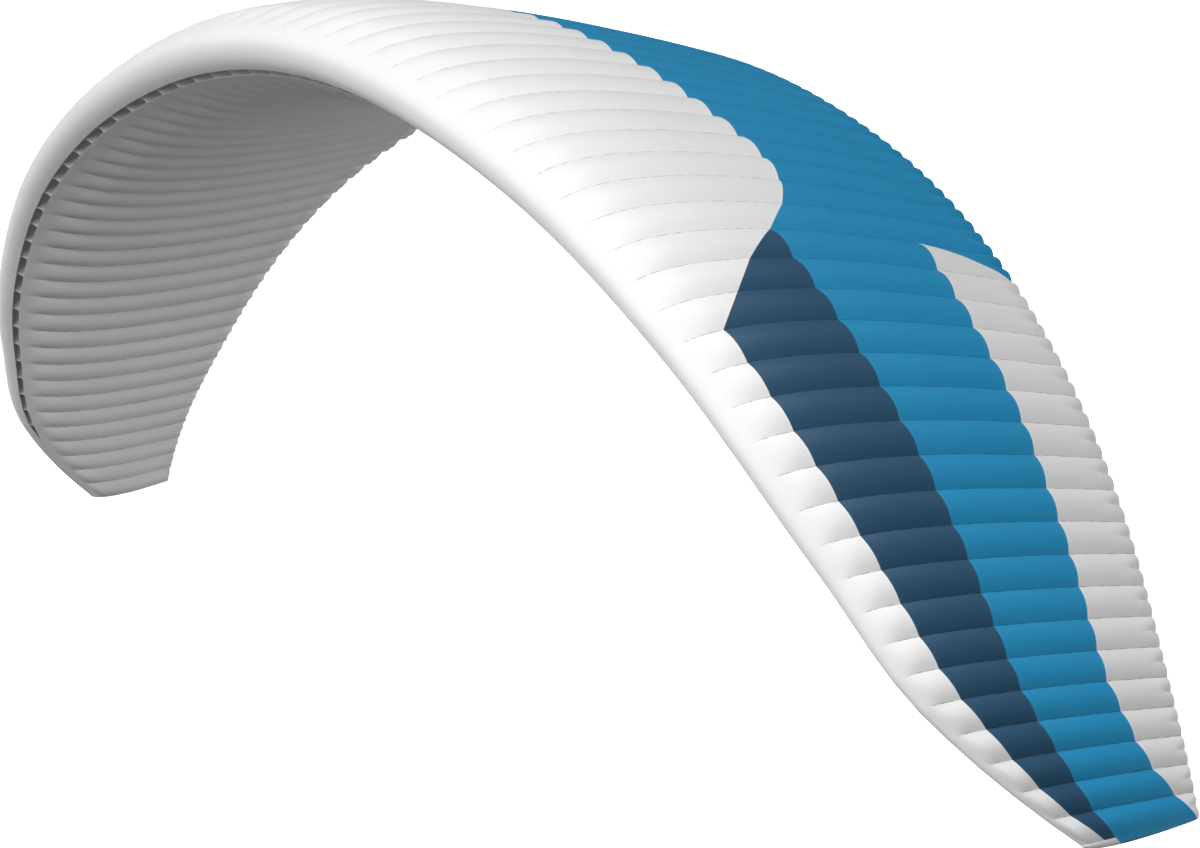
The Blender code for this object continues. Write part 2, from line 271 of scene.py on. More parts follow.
class WingLooks(bpy.types.PropertyGroup):
    """Colours and cloth marks."""

    white: FloatVectorProperty(
        name="White", description="Cloth of the nose", default=(0.86, 0.86, 0.86),
        subtype="COLOR", min=0.0, max=1.0,
    )
    blue: FloatVectorProperty(
        name="Blue", description="Cloth of the centre", default=(0.022, 0.28, 0.53),
        subtype="COLOR", min=0.0, max=1.0,
    )
    navy: FloatVectorProperty(
        name="Navy", description="Cloth behind the nose", default=(0.027, 0.085, 0.155),
        subtype="COLOR", min=0.0, max=1.0,
    )
    # The tail's cloth is the nose's white, painted darker as painted shade where less light falls.
    shaded_white: FloatVectorProperty(
        name="Pale", description="Cloth along the tail", default=(0.79, 0.79, 0.79),
        subtype="COLOR", min=0.0, max=1.0,
    )
    lower: FloatVectorProperty(
        name="Lower", description="Cloth of the lower sail and the ribs", default=(0.86, 0.86, 0.86),
        subtype="COLOR", min=0.0, max=1.0,
    )
    ripstop: FloatProperty(
        name="Ripstop", description="Size of the squares that the thick threads make",
        default=0.0055, min=0.002, max=0.02, precision=4, unit="LENGTH",
    )
    stitch: FloatProperty(
        name="Stitch", description="Length of a stitch and the space after it", default=0.004,
        min=0.002, max=0.02, precision=4, unit="LENGTH",
    )
    # The dark line is painted shade in the crease where the cloth meets a rib.
    crease: FloatProperty(
        name="Crease", description="Half the width of the dark line where the cloth meets a rib",
        default=0.0022, min=0.0, max=0.01, precision=4, unit="LENGTH",
    )
    # Spacing of the noise that breaks the painted crease shade into dashes.
    crease_shade_dash: FloatProperty(
        name="Gather", description="Between the puckers that break up the dark line", default=0.06,
        min=0.01, max=0.2, precision=3, unit="LENGTH",
    )


def smooth(column, share, odd=False):
    """A column of STATIONS at shares of the half arch, as a smooth curve mirrored at the middle."""
    nodes = [row[0] for row in STATIONS]
    values = [row[column] for row in STATIONS]
    nodes = np.array([-nodes[1]] + nodes)
    values = np.array([-values[1] if odd else values[1]] + values)
    steps = np.diff(nodes)
    slopes = np.diff(values) / steps
    tangents = np.empty(len(nodes))
    tangents[1:-1] = (slopes[:-1] * steps[1:] + slopes[1:] * steps[:-1]) / (steps[1:] + steps[:-1])
    tangents[0] = slopes[0]
    tangents[-1] = 2 * slopes[-1] - tangents[-2]
    row = np.clip(np.searchsorted(nodes, share, side="right") - 1, 1, len(nodes) - 2)
    part = (share - nodes[row]) / steps[row]
    return (
        (1 + 2 * part) * (1 - part) ** 2 * values[row]
        + part * (1 - part) ** 2 * steps[row] * tangents[row]
        + part * part * (3 - 2 * part) * values[row + 1]
        + part * part * (part - 1) * steps[row] * tangents[row + 1]
    )


def ease(value, start, end):
    """Rises smoothly from 0 to 1 between two values."""
    part = np.clip((value - start) / (end - start), 0.0, 1.0)
    return part * part * (3 - 2 * part)


def half_thickness(share):
    """Half the aerofoil's thickness for a thickness of one, at a share of the chord. The numbers are
    those of the common symmetrical aerofoil with a closed tail."""
    return 5 * (
        0.2969 * np.sqrt(share) - 0.126 * share - 0.3516 * share**2 + 0.2843 * share**3
        - 0.1036 * share**4
    )


# Every field has one number for each rib. The sign is -1 on the left and 1 on the right.
Ribs = collections.namedtuple("Ribs", "sign roll arch out drop nose chord twist thickness toe")


def rib_table():
    """One value for each rib of every size that sets it."""
    side = np.arange(CELLS + 1) / MIDDLE - 1
    even = np.abs(side)
    share = even * (1 + (1 - even * even) * (CELL_CROWDING[0] + CELL_CROWDING[1] * even * even))
    shares = np.linspace(0.0, 1.0, ARCH_STEPS + 1)
    rolls = np.radians(smooth(ROLL, shares, odd=True))

    def summed(slopes):
        """How far the arch has gone one way at each of the shares."""
        middles = (slopes[1:] + slopes[:-1]) / 2
        return np.concatenate([[0.0], np.cumsum(middles * (FLAT_SPAN / 2 / ARCH_STEPS))])

    return Ribs(
        sign=np.where(side < 0, -1.0, 1.0),
        roll=np.radians(smooth(ROLL, share, odd=True)),
        arch=np.sign(side) * share * FLAT_SPAN / 2,
        out=np.interp(share, shares, summed(np.cos(rolls))),
        drop=np.interp(share, shares, summed(np.sin(rolls))),
        nose=smooth(SET_BACK, share),
        chord=smooth(CHORD, share),
        twist=-np.radians(WASHOUT[0] * share**2 + WASHOUT[1] * share**6),
        thickness=THICKNESS - TIP_THINNING * share**4,
        toe=TIP_TOE[1] * np.maximum(share - TIP_TOE[0], 0.0) / (1 - TIP_TOE[0]),
    )


RIBS = rib_table()


def chord_at(place):
    """The chord at places across the wing, in cells."""
    return np.interp(place, range(CELLS + 1), RIBS.chord)


def length(vectors):
    """Lengths of vectors, with an axis kept for sums with them."""
    return np.linalg.norm(vectors, axis=-1, keepdims=True)


def dot(one, other):
    """Dot products of vectors, with the same axis kept."""
    return (one * other).sum(axis=-1, keepdims=True)


def outline(index, girth, tail_depth):
    """Points of the ribs' outlines. Girth runs from 1 at the tail over the top to 0 at the nose and -1
    at the tail below, and its square is the share of the chord."""
    share = girth * girth
    chord, twist, roll = RIBS.chord[index], RIBS.twist[index], RIBS.roll[index]
    height = half_thickness(share) * RIBS.thickness[index] * chord + tail_depth / 2 * share
    height = np.copysign(height, girth)
    along = (share - TWIST_AXIS) * chord
    turned = along * np.cos(twist) + height * np.sin(twist)
    lifted = height * np.cos(twist) - along * np.sin(twist)
    lean = RIBS.toe[index] * (1 - share)
    return np.stack((
        RIBS.nose[index] + TWIST_AXIS * chord + turned,
        RIBS.sign[index] * (RIBS.out[index] + lifted * np.sin(roll) + lean * np.cos(roll)),
        lifted * np.cos(roll) - RIBS.drop[index] - lean * np.sin(roll),
    ), axis=-1)


def solid_origin():
    """Where the plain solids have their origin: under the middle rib, on the outer face of the cloth."""
    under = outline(MIDDLE, np.array(-math.sqrt(ORIGIN_CHORD_SHARE)), SOLID_TAIL_DEPTH)
    return under - np.array((0.0, 0.0, SOLID_CLOTH / 2))


ORIGIN = solid_origin()


def swell(place, girth, sizes):
    """Height of the cloth above the straight line from rib to rib, as a share of the cell's width. It
    starts nearer the nose at the tips. Near the tail a mini-rib holds the middle of the cell, and both
    sails rise over each half of it."""
    share = girth * girth
    part = place - np.floor(place)
    half = (2 * part) % 1.0
    tipward = np.clip(1 - from_tip(place) / TIP_CELLS, 0.0, 1.0)
    upper = sizes.billow * ease(share, 0.0, UPPER_FULL - TIP_SOONER * tipward)
    upper = upper * np.sin(np.clip((1 - share) / UPPER_FALL, 0.0, 1.0) * math.pi / 2)
    lower = sizes.lower_billow * ease(share, LOWER_START, LOWER_FULL)
    lower = lower * np.sin(np.clip((1 - share) / LOWER_FALL, 0.0, 1.0) * math.pi / 2)
    turn = np.where(girth < 0, 1 - 2 * ease(share, UNDER_TURN, 1.0), 1.0)
    late = ease(share, sizes.tail_from, 1.0) * turn
    return (
        4 * part * (1 - part) * np.where(girth > 0, upper, lower)
        + sizes.tail_billow * 2 * half * (1 - half) * late
    )


def tip_end(place, girth, sizes):
    """Points of the rounded cloth that closes a tip. Places run on for one more cell from the tip rib to
    the edge where the upper and the lower sail meet."""
    index = np.where(place < MIDDLE, 0, CELLS)
    here = outline(index, girth, sizes.tail_depth)
    across = here - outline(index, -girth, sizes.tail_depth)
    height = length(across) / 2
    roll = RIBS.roll[index]
    tipward = np.stack((0 * roll, RIBS.sign[index] * np.cos(roll), -np.sin(roll)), axis=-1)
    angle = np.maximum(-place, place - CELLS) * math.pi / 2 * np.minimum((1 - girth**2) / TIP_FADE, 1.0)
    angle = angle[:, None]
    lowered = height * (1 - np.cos(angle)) - sizes.seam_gap * np.sin(angle)
    out = tipward * TIP_BULGE * height * np.sin(angle)
    return here - across / np.maximum(2 * height, NO_HEIGHT) * lowered + out - ORIGIN


def skin(place, girth, sizes):
    """Points in the middle of a sail's cloth, at places across the wing in cells."""
    if place.min() < 0 or place.max() > CELLS:
        return tip_end(place, girth, sizes)
    first = np.clip(place.astype(int), 0, CELLS - 1)
    part = (place - first)[:, None]

    def between(at):
        return (
            (1 - part) * outline(first, at, sizes.tail_depth)
            + part * outline(first + 1, at, sizes.tail_depth)
        )

    across = outline(first + 1, girth, sizes.tail_depth) - outline(first, girth, sizes.tail_depth)
    outward = np.cross(across, between(girth + GIRTH_STEP) - between(girth - GIRTH_STEP))
    outward /= -length(outward)
    rise = swell(place, girth, sizes)[:, None] * length(across)
    return between(girth) + outward * rise - ORIGIN


def from_tip(place):
    """A place across the wing, in cells, counted from the nearer tip."""
    return np.minimum(place, CELLS - place)


def columns(start, end, steps):
    """Places across the wing where the cloth has its columns: a whole number of them in every cell."""
    inner = np.arange(math.ceil(start * steps), math.floor(end * steps) + 1) / steps
    return np.unique(np.concatenate([[start], inner, [end]]))


def mirrored(places):
    """The same places on the other half, again from left to right."""
    return CELLS - places[::-1]


def tip_places(steps):
    """The places across the two tip ends, each from left to right."""
    left = np.linspace(-1.0, 0.0, steps + 1)
    return left, mirrored(left)


def seam(rows, distance=0.0):
    """The girth of a seam of the upper sail at any places, moved back by a distance along the chord."""
    ribs, shares = zip(*rows)

    def girth(place):
        share = np.interp(from_tip(place), ribs, shares) + distance / chord_at(place)
        return np.sqrt(np.minimum(share, 1.0))

    return girth


def mouth_edge(share, distance):
    """The girth of the front or rear edge of the mouths. In the tip cells both edges meet."""
    edge = seam(((MOUTH_FROM_RIB - 1, MOUTH_CLOSED), (MOUTH_FROM_RIB, share)), distance)
    return lambda place: -edge(place)


def tail(place):
    """The girth of the upper sail's rear edge."""
    return np.ones_like(place)


def under_tail(place):
    """The girth of the lower sail's rear edge."""
    return -np.ones_like(place)


def everywhere(place):
    """Says of places that the edge is a sewn one in all of them."""
    return np.ones_like(place, bool)


def nowhere(place):
    """Says of places that the edge is a sewn one in none of them."""
    return np.zeros_like(place, bool)


def outer(rib):
    """Says of places whether they lie between a tip and a rib."""
    return lambda place: from_tip(place) <= rib


def beside(points, place, edge, sizes):
    """Distances of points from a seam, square to it."""
    limits = min(place.min(), 0), max(place.max(), CELLS)
    ends = [np.clip(place + step, *limits) for step in (-PLACE_STEP, PLACE_STEP)]
    run = skin(ends[1], edge(ends[1]), sizes) - skin(ends[0], edge(ends[0]), sizes)
    run /= length(run)
    gap = points - skin(place, edge(place), sizes)
    return length(gap - dot(gap, run) * run)[:, 0]


def beside_rib(place, girth, sizes):
    """Distances of places from the nearest rib, square to it."""
    first = np.clip(place.astype(int), 0, CELLS - 1)
    part = place - first
    across = outline(first + 1, girth, sizes.tail_depth) - outline(first, girth, sizes.tail_depth)
    run = (
        outline(first, girth + GIRTH_STEP, sizes.tail_depth)
        - outline(first, girth - GIRTH_STEP, sizes.tail_depth)
    )
    run /= length(run)
    return np.minimum(abs(part), abs(1 - part)) * length(across - dot(across, run) * run)[:, 0]


def girth_length(girth):
    """Length of the outline from the nose, as a share of the chord."""
    at = np.linspace(0.0, 1.0, LINE_STEPS)
    share = at * at
    line = np.stack((share, half_thickness(share) * THICKNESS), axis=-1)
    lengths = np.concatenate([[0.0], np.cumsum(length(np.diff(line, axis=0)))])
    return np.copysign(np.interp(np.abs(girth), at, lengths), girth)


def new_sheet():
    """An empty sheet of cloth. Every vertex notes where it is, for the marks on the cloth."""
    sheet = bmesh.new()
    sheet.verts.layers.float_vector.new("weave")
    sheet.verts.layers.float_vector.new("seams")
    return sheet


def note(sheet, verts, points, weave, seams):
    """Moves vertices to points and writes what they know of their place in the cloth."""
    weave_layer = sheet.verts.layers.float_vector["weave"]
    seams_layer = sheet.verts.layers.float_vector["seams"]
    for vert, point, thread, edge in zip(verts, points, weave, seams):
        vert.co = point
        vert[weave_layer] = thread
        vert[seams_layer] = edge


def strip(sheet, places, front, rear, rows, sizes, hems):
    """Adds a strip of cloth from one edge to the other. Hems say where each edge is a sewn one."""
    count = len(places) - 1
    verts = bmesh.ops.create_grid(sheet, x_segments=count, y_segments=rows, size=0.5)["verts"]
    flat = np.array([vert.co for vert in verts])
    place = places[np.rint((flat[:, 0] + 0.5) * count).astype(int)]
    low, high = front(place), rear(place)
    girth = low + (high - low) * (flat[:, 1] + 0.5)
    points = skin(place, girth, sizes)
    gaps = [
        np.where(hem(place), beside(points, place, edge, sizes), NO_EDGE)
        for hem, edge in zip(hems, (front, rear))
    ]
    arch = (2 * RIBS.arch[0] - RIBS.arch[1], *RIBS.arch, 2 * RIBS.arch[-1] - RIBS.arch[-2])
    across = np.interp(place, range(-1, CELLS + 2), arch)
    weave = np.stack((across, girth_length(girth) * chord_at(place), girth), axis=-1)
    seams = np.stack((beside_rib(place, girth, sizes), np.minimum(*gaps), place), axis=-1)
    note(sheet, verts, points, weave, seams)


def sew(context, name, sheet, material, node, level=False):
    """Makes a piece of a sheet: gives the cloth its thickness, keeps the creases sharp, gives it its
    material, hangs it under the root body and hides the part of the model that it stands for. A level sheet
    is flat, so its thickness needs no evening out at the corners."""
    sizes = context.scene.wing_sizes
    bmesh.ops.remove_doubles(sheet, verts=sheet.verts, dist=WELD)
    bmesh.ops.dissolve_degenerate(sheet, edges=sheet.edges, dist=SLIVER)
    bmesh.ops.recalc_face_normals(sheet, faces=sheet.faces)
    if not sheet.faces:
        raise RuntimeError(f"{name} has no cloth")
    area = sum(face.calc_area() for face in sheet.faces)
    data = bpy.data.meshes.new(name)
    sheet.to_mesh(data)
    sheet.free()
    piece = bpy.data.objects.new(name, data)
    context.scene.collection.objects.link(piece)
    thicken = piece.modifiers.new("cloth", "SOLIDIFY")
    thicken.thickness = sizes.cloth
    thicken.offset = 0.0
    thicken.use_even_offset = not level
    context.view_layer.update()
    graph = context.evaluated_depsgraph_get()
    solid = bpy.data.meshes.new_from_object(piece.evaluated_get(graph))
    piece.modifiers.clear()
    piece.data = solid
    bpy.data.meshes.remove(data)
    solid.name = name
    crease(solid)
    solid.materials.clear()
    solid.materials.append(material)
    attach(piece, "root")
    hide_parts(node)
    return piece


def crease(mesh):
    """Smooth shading, with sharp edges round the rim and along the ribs where the cloth swells."""
    mesh.shade_smooth()
    mesh.set_sharp_from_angle(angle=math.radians(RIM_ANGLE))
    ends = np.empty(len(mesh.edges) * 2, np.int32)
    mesh.edges.foreach_get("vertices", ends)
    sharp = np.empty(len(mesh.edges), bool)
    mesh.edges.foreach_get("use_edge_sharp", sharp)
    notes = {}
    for layer in ("weave", "seams"):
        values = np.empty(len(mesh.vertices) * 3, np.float32)
        mesh.attributes[layer].data.foreach_get("vector", values)
        notes[layer] = values.reshape(-1, 3)[:, 2][ends].reshape(-1, 2)
    place, girth = notes["seams"], notes["weave"]
    start = place[:, 0]
    along = np.abs(start - place[:, 1]) < ON_LINE
    on_rib = np.abs(start - np.rint(start)) < ON_LINE
    on_half = np.abs(start * 2 - np.rint(start * 2)) < ON_LINE
    on_mini_rib = on_half & (np.abs(girth).min(axis=1) > MINI_RIB_CREASE)
    swells = (girth.min(axis=1) > UPPER_CREASE) | (girth.max(axis=1) < -LOWER_CREASE)
    off_tip_ribs = np.abs(start - MIDDLE) < MIDDLE - 0.5
    sharp |= along & (on_rib | on_mini_rib) & swells & off_tip_ribs
    mesh.edges.foreach_set("use_edge_sharp", sharp)


class Value:
    """A number in a shader, which takes part in sums."""

    def __init__(self, tree, socket):
        self.tree = tree
        self.socket = socket

    def __add__(self, other):
        return self.tree.maths("ADD", self, other)

    def __sub__(self, other):
        return self.tree.maths("SUBTRACT", self, other)

    def __rsub__(self, other):
        return self.tree.maths("SUBTRACT", other, self)

    def __mul__(self, other):
        return self.tree.maths("MULTIPLY", self, other)

    def __truediv__(self, other):
        return self.tree.maths("DIVIDE", self, other)

    def __abs__(self):
        return self.tree.maths("ABSOLUTE", self)

    def __mod__(self, other):
        return self.tree.maths("FLOORED_MODULO", self, other)

    def larger(self, other):
        return self.tree.maths("MAXIMUM", self, other)

    __radd__ = __add__


class Tree:
    """Nodes of one material or sky."""

    def __init__(self, owner):
        owner.use_nodes = True
        self.nodes = owner.node_tree.nodes
        self.links = owner.node_tree.links

    def node(self, kind, settings=(), **sockets):
        """Adds a node. Sockets are named in lower case with underscores, or by number as socket_0."""
        made = self.nodes.new(kind)
        for name, value in dict(settings).items():
            setattr(made, name, value)
        for name, value in sockets.items():
            self.set(made, name, value)
        return made

    def set(self, node, name, value):
        """Gives a socket of a node a value, or links it."""
        if name.startswith("socket_"):
            target = node.inputs[int(name.removeprefix("socket_"))]
        else:
            target = next(s for s in node.inputs if s.name.lower().replace(" ", "_") == name)
        if isinstance(value, Value):
            self.links.new(value.socket, target)
        elif isinstance(value, bpy.types.NodeSocket):
            self.links.new(value, target)
        else:
            target.default_value = value

    def number(self, kind, settings=(), **sockets):
        """Adds a node and gives its first output, as a number for sums."""
        return Value(self, self.node(kind, settings, **sockets).outputs[0])

    def maths(self, operation, *values):
        """The result of one operation on numbers."""
        sockets = {f"socket_{k}": value for k, value in enumerate(values)}
        return self.number("ShaderNodeMath", {"operation": operation}, **sockets)

    def ease(self, value, start, end):
        """Rises smoothly from 0 to 1 between two values."""
        settings = {"interpolation_type": "SMOOTHSTEP"}
        return self.number("ShaderNodeMapRange", settings, value=value, from_min=start, from_max=end)

    def tint(self, colour, shade):
        """A colour made darker or paler by a shade."""
        settings = {"operation": "SCALE"}
        return self.node("ShaderNodeVectorMath", settings, socket_0=colour, scale=shade).outputs[0]

    def note(self, name):
        """The three numbers that the cloth's vertices note under a name."""
        read = self.node("ShaderNodeAttribute", {"attribute_name": name})
        parts = self.node("ShaderNodeSeparateXYZ", vector=read.outputs["Vector"])
        return [Value(self, output) for output in parts.outputs]

    def wave(self, value, pitch):
        """1 on lines that stand a pitch apart, falling straight to 0 midway between them."""
        return abs(value / pitch % 1.0 - 0.5) * 2


def cloth_material(name, colour, looks):
    """Coated ripstop cloth: fine squares of thick thread, painted shade in the crease at every rib, broken
    into dashes by noise, a row of stitches beside every rib, two rows of stitches along each raised hem,
    which is painted paler as a highlight, and very light unevenness."""
    material = bpy.data.materials.new(name)
    tree = Tree(material)
    across, along, girth = tree.note("weave")
    from_rib, from_edge, place = tree.note("seams")
    thread = tree.wave(across, looks.ripstop).larger(tree.wave(along, looks.ripstop))
    squares = tree.ease(thread, *THREAD)
    swelled = tree.ease(girth, *SWELLED_ABOVE) + tree.ease(0 - girth, *SWELLED_BELOW)
    swelled = swelled * tree.ease(place, *OFF_TIP_RIB) * tree.ease(CELLS - place, *OFF_TIP_RIB)
    line = along / looks.crease_shade_dash + tree.maths("ROUND", place) * RIB_TO_RIB
    crease_shade_noise = tree.number("ShaderNodeTexNoise", {"noise_dimensions": "1D"}, w=line, scale=1.0)
    # Painted shade: a dark line in the crease beside every rib where the cloth swells, broken into dashes
    # by noise.
    painted_crease_shade = (1 - tree.ease(from_rib, looks.crease * PAINTED_CREASE_CORE, looks.crease)) * swelled
    painted_crease_shade = painted_crease_shade * (CREASE_SHADE_GAPS + tree.ease(crease_shade_noise, *CREASE_SHADE_NOISE))
    rib_dashes = tree.ease(tree.wave(along, looks.stitch), *DASH)
    rib_stitch = (1 - tree.ease(from_rib, *RIB_STITCH)) * rib_dashes * swelled
    edge_dashes = tree.ease(tree.wave(across, looks.stitch), *DASH)
    rows = [1 - tree.ease(abs(from_edge - at), *HEM_STITCH) for at in HEM_ROWS]
    stitch = rib_stitch.larger(rows[0].larger(rows[1]) * edge_dashes)
    # The hem is raised by the bump and painted paler as a painted highlight along each sewn edge.
    hem = 1 - tree.ease(from_edge, *HEM)
    spot = tree.node("ShaderNodeTexCoord").outputs["Object"]
    broad = tree.number("ShaderNodeTexNoise", vector=spot, scale=BROAD_SCALE, detail=2.0) - 0.5
    cell = tree.maths("FLOOR", place)
    panel = tree.number("ShaderNodeTexWhiteNoise", {"noise_dimensions": "1D"}, w=cell) - 0.5
    # Tone of the cloth: uneven, per panel and thread marks, with a painted highlight along each hem and
    # painted shade in the creases by the ribs.
    shade = 1 + broad * BROAD_SHADE + panel * PANEL_SHADE - squares * THREAD_SHADE + hem * HEM_HIGHLIGHT
    shade = shade * (1 - painted_crease_shade * PAINTED_CREASE_SHADE) * (1 - stitch * STITCH_SHADE)
    height = squares * THREAD_HEIGHT + hem * HEM_HEIGHT - stitch * STITCH_DEPTH
    bump = tree.node("ShaderNodeBump", height=height, distance=1.0, strength=MARKS_STRENGTH)
    shader = tree.nodes["Principled BSDF"]
    tree.set(shader, "base_color", tree.tint(colour, shade))
    tree.set(shader, "roughness", CLOTH_ROUGHNESS + broad * UNEVEN_ROUGHNESS)
    tree.set(shader, "specular_ior_level", CLOTH_GLOSS)
    tree.set(shader, "metallic", 0.0)
    tree.set(shader, "normal", bump.outputs[0])
    return material


def plain_material(name, colour):
    """Stiff rib cloth with a paler tape along its edge at the mouth. It glows a little with the light that
    comes through the sails."""
    material = bpy.data.materials.new(name)
    tree = Tree(material)
    taped = 1 - tree.ease(tree.note("seams")[1], *TAPE)
    tint = tree.tint(colour, RIB_SHADE + taped * TAPE_SHADE)
    shader = tree.nodes["Principled BSDF"]
    tree.set(shader, "base_color", tint)
    tree.set(shader, "emission_color", tint)
    tree.set(shader, "emission_strength", RIB_GLOW)
    tree.set(shader, "roughness", RIB_ROUGHNESS)
    tree.set(shader, "metallic", 0.0)
    return material


class WING_OT_nose(bpy.types.Operator):
    """Lay the white cloth round the nose and over the crown"""

    bl_idname = "wing.nose"
    bl_label = "Nose cloth"

    def execute(self, context):
        sizes, looks = context.scene.wing_sizes, context.scene.wing_looks
        sheet = new_sheet()
        gap = -sizes.seam_gap / 2
        low = mouth_edge(MOUTH_FRONT, gap)
        seam_line = seam(NOSE_SEAM, gap)
        places = columns(0, CELLS, sizes.steps)
        strip(sheet, places, low, seam_line, NOSE_ROWS, sizes, (everywhere, outer(CROWN_FROM_RIB)))
        for tip in tip_places(sizes.steps):
            strip(sheet, tip, low, seam_line, NOSE_ROWS, sizes, (everywhere, nowhere))
            rear = seam(NAVY_SEAM, gap)
            strip(sheet, tip, seam_line, rear, TIP_NOSE_ROWS, sizes, (nowhere, everywhere))
        crown = columns(CROWN_FROM_RIB, CELLS - CROWN_FROM_RIB, sizes.steps)
        far = seam(POINT_SEAM + CROWN_SEAM, gap)
        strip(sheet, crown, seam_line, far, CROWN_ROWS, sizes, (nowhere, everywhere))
        sew(
            context, "nose_cloth", sheet, cloth_material("white cloth", looks.white, looks),
            "nose_panels",
        )
        return {"FINISHED"}


class WING_OT_centre(bpy.types.Operator):
    """Lay the blue cloth from the crown to the tail, with the band that runs out to both tips"""

    bl_idname = "wing.centre"
    bl_label = "Centre cloth"

    def execute(self, context):
        sizes, looks = context.scene.wing_sizes, context.scene.wing_looks
        sheet = new_sheet()
        gap = sizes.seam_gap / 2
        front = seam(NAVY_SEAM + CROWN_SEAM, gap)
        rear = seam(TRAILING_SEAM, -gap)
        for places in (columns(0, CELLS, sizes.steps), *tip_places(sizes.steps)):
            strip(sheet, places, front, rear, CENTRE_ROWS, sizes, (everywhere, outer(POINT_RIB)))
        middle = columns(POINT_RIB, CELLS - POINT_RIB, sizes.steps)
        strip(sheet, middle, rear, tail, TAIL_ROWS, sizes, (nowhere, everywhere))
        slant = seam(SLANT_SEAM, gap * 3)

        def corner_front(place):
            return np.where(from_tip(place) == POINT_RIB, rear(place), slant(place))

        corner = columns(SLANT_RIB + BLUNT, POINT_RIB, sizes.steps)
        for side in (corner, mirrored(corner)):
            strip(sheet, side, corner_front, tail, TAIL_ROWS, sizes, (everywhere, everywhere))
        sew(
            context, "centre_cloth", sheet, cloth_material("blue cloth", looks.blue, looks),
            "centre_panels",
        )
        return {"FINISHED"}


class WING_OT_navy(bpy.types.Operator):
    """Lay the navy cloth behind the nose on both sides, each ending in a point"""

    bl_idname = "wing.navy"
    bl_label = "Navy cloth"

    def execute(self, context):
        sizes, looks = context.scene.wing_sizes, context.scene.wing_looks
        material = cloth_material("navy cloth", looks.navy, looks)
        gap = sizes.seam_gap / 2
        front = seam(NOSE_SEAM[:-1] + POINT_SEAM, gap * 3)
        rear = seam(NAVY_SEAM, -gap)
        places = columns(BLUNT, POINT_RIB - BLUNT * 2, sizes.steps)
        for end, side in (("left", places), ("right", mirrored(places))):
            sheet = new_sheet()
            strip(sheet, side, front, rear, NAVY_ROWS, sizes, (everywhere, everywhere))
            sew(context, "navy_cloth_" + end, sheet, material, "navy_panels_" + end)
        return {"FINISHED"}


class WING_OT_trailing(bpy.types.Operator):
    """Lay the trailing cloth along the tail on both sides, each with a slanted inner end. It is the white
    cloth painted darker as painted shade
    """

    bl_idname = "wing.trailing"
    bl_label = "Trailing cloth"

    def execute(self, context):
        sizes, looks = context.scene.wing_sizes, context.scene.wing_looks
        # White cloth painted darker: painted shade along the tail.
        material = cloth_material("pale cloth", looks.shaded_white, looks)
        gap = sizes.seam_gap / 2
        front = seam(TRAILING_SEAM, gap)
        slant = seam(SLANT_SEAM, -gap * 3)

        def rear(place):
            return np.where(from_tip(place) > SLANT_RIB, slant(place), 1.0)

        places = columns(0, POINT_RIB - BLUNT, sizes.steps)
        for end, side in (("left", places), ("right", mirrored(places))):
            sheet = new_sheet()
            strip(sheet, side, front, rear, TAIL_ROWS, sizes, (everywhere, everywhere))
            sew(
                context, "trailing_cloth_" + end, sheet, material,
                "trailing_panels_" + end,
            )
        return {"FINISHED"}


class WING_OT_lower(bpy.types.Operator):
    """Lay the lower sail from the mouths to the tail"""

    bl_idname = "wing.lower"
    bl_label = "Lower cloth"

    def execute(self, context):
        sizes, looks = context.scene.wing_sizes, context.scene.wing_looks
        sheet = new_sheet()
        front = mouth_edge(MOUTH_REAR, sizes.seam_gap / 2)
        for places in (columns(0, CELLS, sizes.steps), *tip_places(sizes.steps)):
            strip(sheet, places, front, under_tail, LOWER_ROWS, sizes, (everywhere, everywhere))
        sew(
            context, "lower_cloth", sheet, cloth_material("lower cloth", looks.lower, looks),
            "lower_sail_and_ribs",
        )
        return {"FINISHED"}


class WING_OT_ribs(bpy.types.Operator):
    """Set a rib in every crease, with a hollowed edge at the mouth"""

    bl_idname = "wing.ribs"
    bl_label = "Ribs"

    def execute(self, context):
        sizes, looks = context.scene.wing_sizes, context.scene.wing_looks
        sheet = new_sheet()
        mouth = np.sqrt((MOUTH_FRONT, MOUTH_BEND, MOUTH_REAR))
        whole = np.unique(np.concatenate([np.linspace(0, math.sqrt(RIB_TAIL), RIB_COLUMNS), mouth]))
        for index in range(CELLS + 1):
            add_rib(sheet, index, whole if 0 < index < CELLS else whole[whole**2 < TIP_RIB_TAIL], sizes)
        sew(
            context, "ribs", sheet, plain_material("rib cloth", looks.lower),
            "lower_sail_and_ribs", level=True,
        )
        return {"FINISHED"}


def add_rib(sheet, index, girths, sizes):
    """Adds a rib with columns of faces at girths, and notes how far it is to its free edge at the mouth."""
    count = len(girths) - 1
    low, high = (rib_edge(index, sign * girths, sizes) for sign in (-1, 1))
    verts = bmesh.ops.create_grid(sheet, x_segments=count, y_segments=RIB_ROWS, size=0.5)["verts"]
    flat = np.array([vert.co for vert in verts]) + 0.5
    column = np.rint(flat[:, 0] * count).astype(int)
    row = np.rint(flat[:, 1] * RIB_ROWS).astype(int)
    tall = length(high - low)[column, 0]
    taped = np.minimum(TAPE_ROW * row / np.maximum(tall, LOW_RIB), TAPE_MOST)
    shares = np.where(row <= TAPE_ROWS, taped, np.where(row < RIB_ROWS, ROW_ABOVE_TAPE, 1.0))
    points = (1 - shares[:, None]) * low[column] + shares[:, None] * high[column]
    girth = girths[column]
    front, rear = math.sqrt(MOUTH_FRONT), math.sqrt(MOUTH_REAR)
    at_mouth = (girth > front - AT_MOUTH) & (girth < rear + AT_MOUTH)
    from_edge = np.where(at_mouth, shares * tall, NO_EDGE)
    weave = np.stack((points[:, 0], points[:, 2], girth), axis=-1)
    seams = np.stack((from_edge, from_edge, np.full(len(verts), float(index))), axis=-1)
    note(sheet, verts, points, weave, seams)


